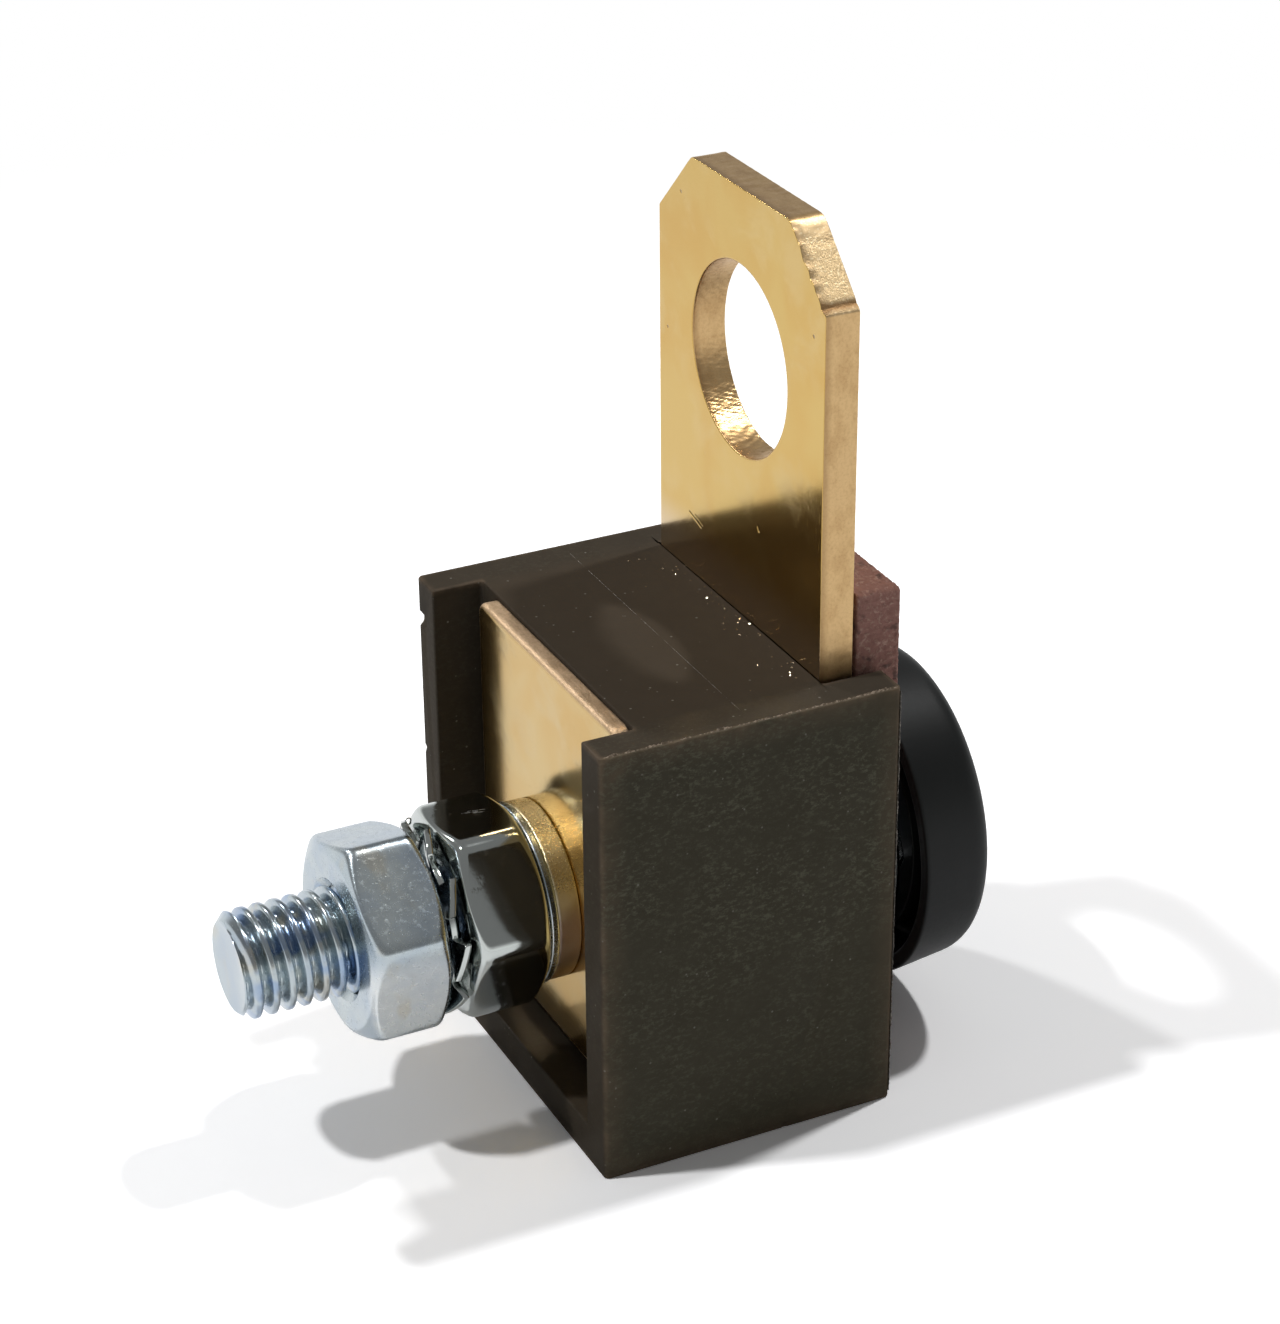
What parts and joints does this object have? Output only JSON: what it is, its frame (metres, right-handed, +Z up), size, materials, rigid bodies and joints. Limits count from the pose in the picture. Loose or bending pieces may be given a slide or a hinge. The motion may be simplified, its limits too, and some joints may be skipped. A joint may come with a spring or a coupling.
{
  "type": "starter fuse",
  "caption": "Block-shaped bolt-down starter fuse: moulded block with a brass blade terminal behind and a threaded stud with nuts in front.",
  "frame": {"origin": "middle of the block's bottom face", "axes": "+X across the block, -Y along the threaded stud towards its tip, +Z up along the blade terminal"},
  "size_m": [0.0248, 0.0434, 0.052],
  "materials": {
    "moulding": "matte, finely mottled",
    "brass": "polished",
    "fibre": "matte vulcanised fibre",
    "zinc": "blue-white zinc plate",
    "bright_zinc": "mirror bright",
    "cap_black": "satin black",
    "sleeve_white": "plain",
    "link_metal": "dull, rolled strip"
  },
  "bodies": {
    "fuse": {"fuse_body": "moulding", "contact_plate": "brass", "terminal_lug": "brass", "fibre_plate": "fibre", "fuse_link": "link_metal", "insulating_sleeve": "sleeve_white", "head_washer": "bright_zinc", "terminal_screw": "zinc", "screw_cap": "cap_black", "brass_collar": "brass", "thin_washer": "bright_zinc", "clamp_nut": "bright_zinc"},
    "washer": {"lock_washer": "bright_zinc"},
    "nut": {"cable_nut": "zinc"}
  },
  "joints": [
    {"name": "nut_travel", "type": "slide", "parent": "fuse", "child": "washer", "axis": [0, -1, 0], "range_m": [0, 0.0098]},
    {"name": "nut_turn", "type": "hinge", "parent": "washer", "child": "nut", "pos_m": [0, -0.01735, 0.0119], "axis": [0, -1, 0], "range_deg": [0, 3600]}
  ],
  "couplings": [
    {"joint": "nut_travel", "follows": "nut_turn", "m_per_rad": 0.00015548}
  ]
}
